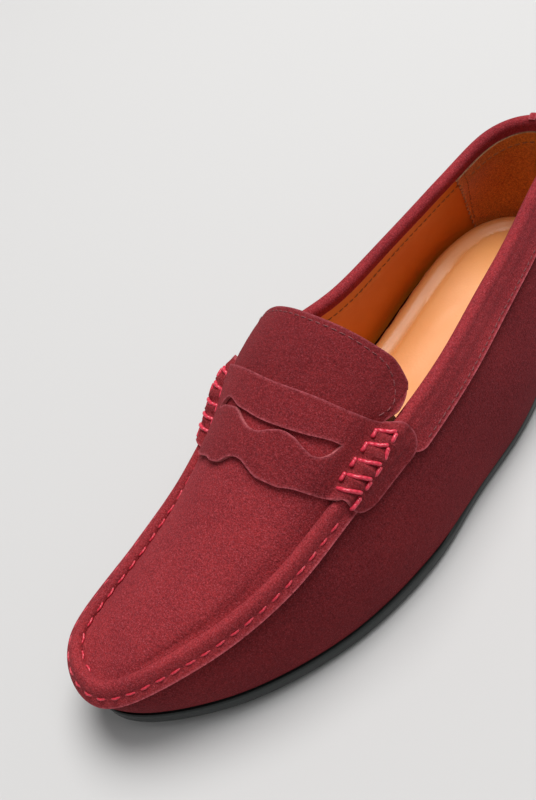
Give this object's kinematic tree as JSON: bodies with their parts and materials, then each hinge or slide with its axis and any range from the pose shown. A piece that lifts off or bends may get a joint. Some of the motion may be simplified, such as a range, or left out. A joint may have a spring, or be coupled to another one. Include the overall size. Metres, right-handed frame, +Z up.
{
  "type": "penny loafer",
  "caption": "Left slip-on loafer with a raised moccasin seam, a slotted saddle strap lashed over it, a free tongue, a folded collar and a low rubber sole with a heel.",
  "frame": {"origin": "bottom centre of the shoe's bounding box, on the ground under the waist", "axes": "+Z up, +Y towards the heel, -Y towards the toe, +X to the outer (lateral) side of this left shoe"},
  "size_m": [0.0996, 0.2892, 0.0932],
  "materials": {
    "rubber": "matt black moulded rubber with a slight green cast",
    "suede": "burgundy suede with a short mottled nap and paler cut edges",
    "tan_leather": "smooth tan lining leather with a soft gloss",
    "heel_suede": "brown napped heel grip leather",
    "insole_board": "fibre board",
    "foam": "cut foam",
    "cork": "cork sheet",
    "spring_steel": "plain spring steel strip",
    "stiffener": "fibre-reinforced stiffener sheet",
    "seam_thread": "waxed crimson thread",
    "lacing_thread": "thick waxed crimson thread",
    "suede_thread": "fine burgundy thread",
    "tan_thread": "fine tan thread"
  },
  "bodies": {
    "root": {"outsole": "rubber", "insole_board": "insole_board", "footbed_foam": "foam", "sock_liner": "tan_leather", "forefoot_filler": "cork", "shank": "spring_steel", "side_wall": "suede", "heel_counter": "stiffener", "toe_puff": "stiffener", "heel_lining": "heel_suede", "quarter_lining_lateral": "tan_leather", "quarter_lining_medial": "tan_leather", "vamp_lining": "tan_leather", "apron": "suede", "saddle_strap": "suede", "collar_band_lateral": "suede", "collar_band_medial": "suede", "collar_padding": "foam", "back_stay": "suede", "apron_seam_thread": "seam_thread", "saddle_lashing_lateral": "lacing_thread", "saddle_lashing_medial": "lacing_thread", "collar_seam_thread_lateral": "suede_thread", "collar_seam_thread_medial": "suede_thread", "lining_seam_thread_lateral": "tan_thread", "lining_seam_thread_medial": "tan_thread"},
    "tongue": {"tongue": "suede", "tongue_lining": "tan_leather", "tongue_edge_thread": "suede_thread"}
  },
  "joints": [
    {"name": "tongue_lift", "type": "hinge", "parent": "root", "child": "tongue", "pos_m": [0, -0.03, 0.094], "axis": [1, 0, 0], "range_deg": [0, 24]}
  ]
}
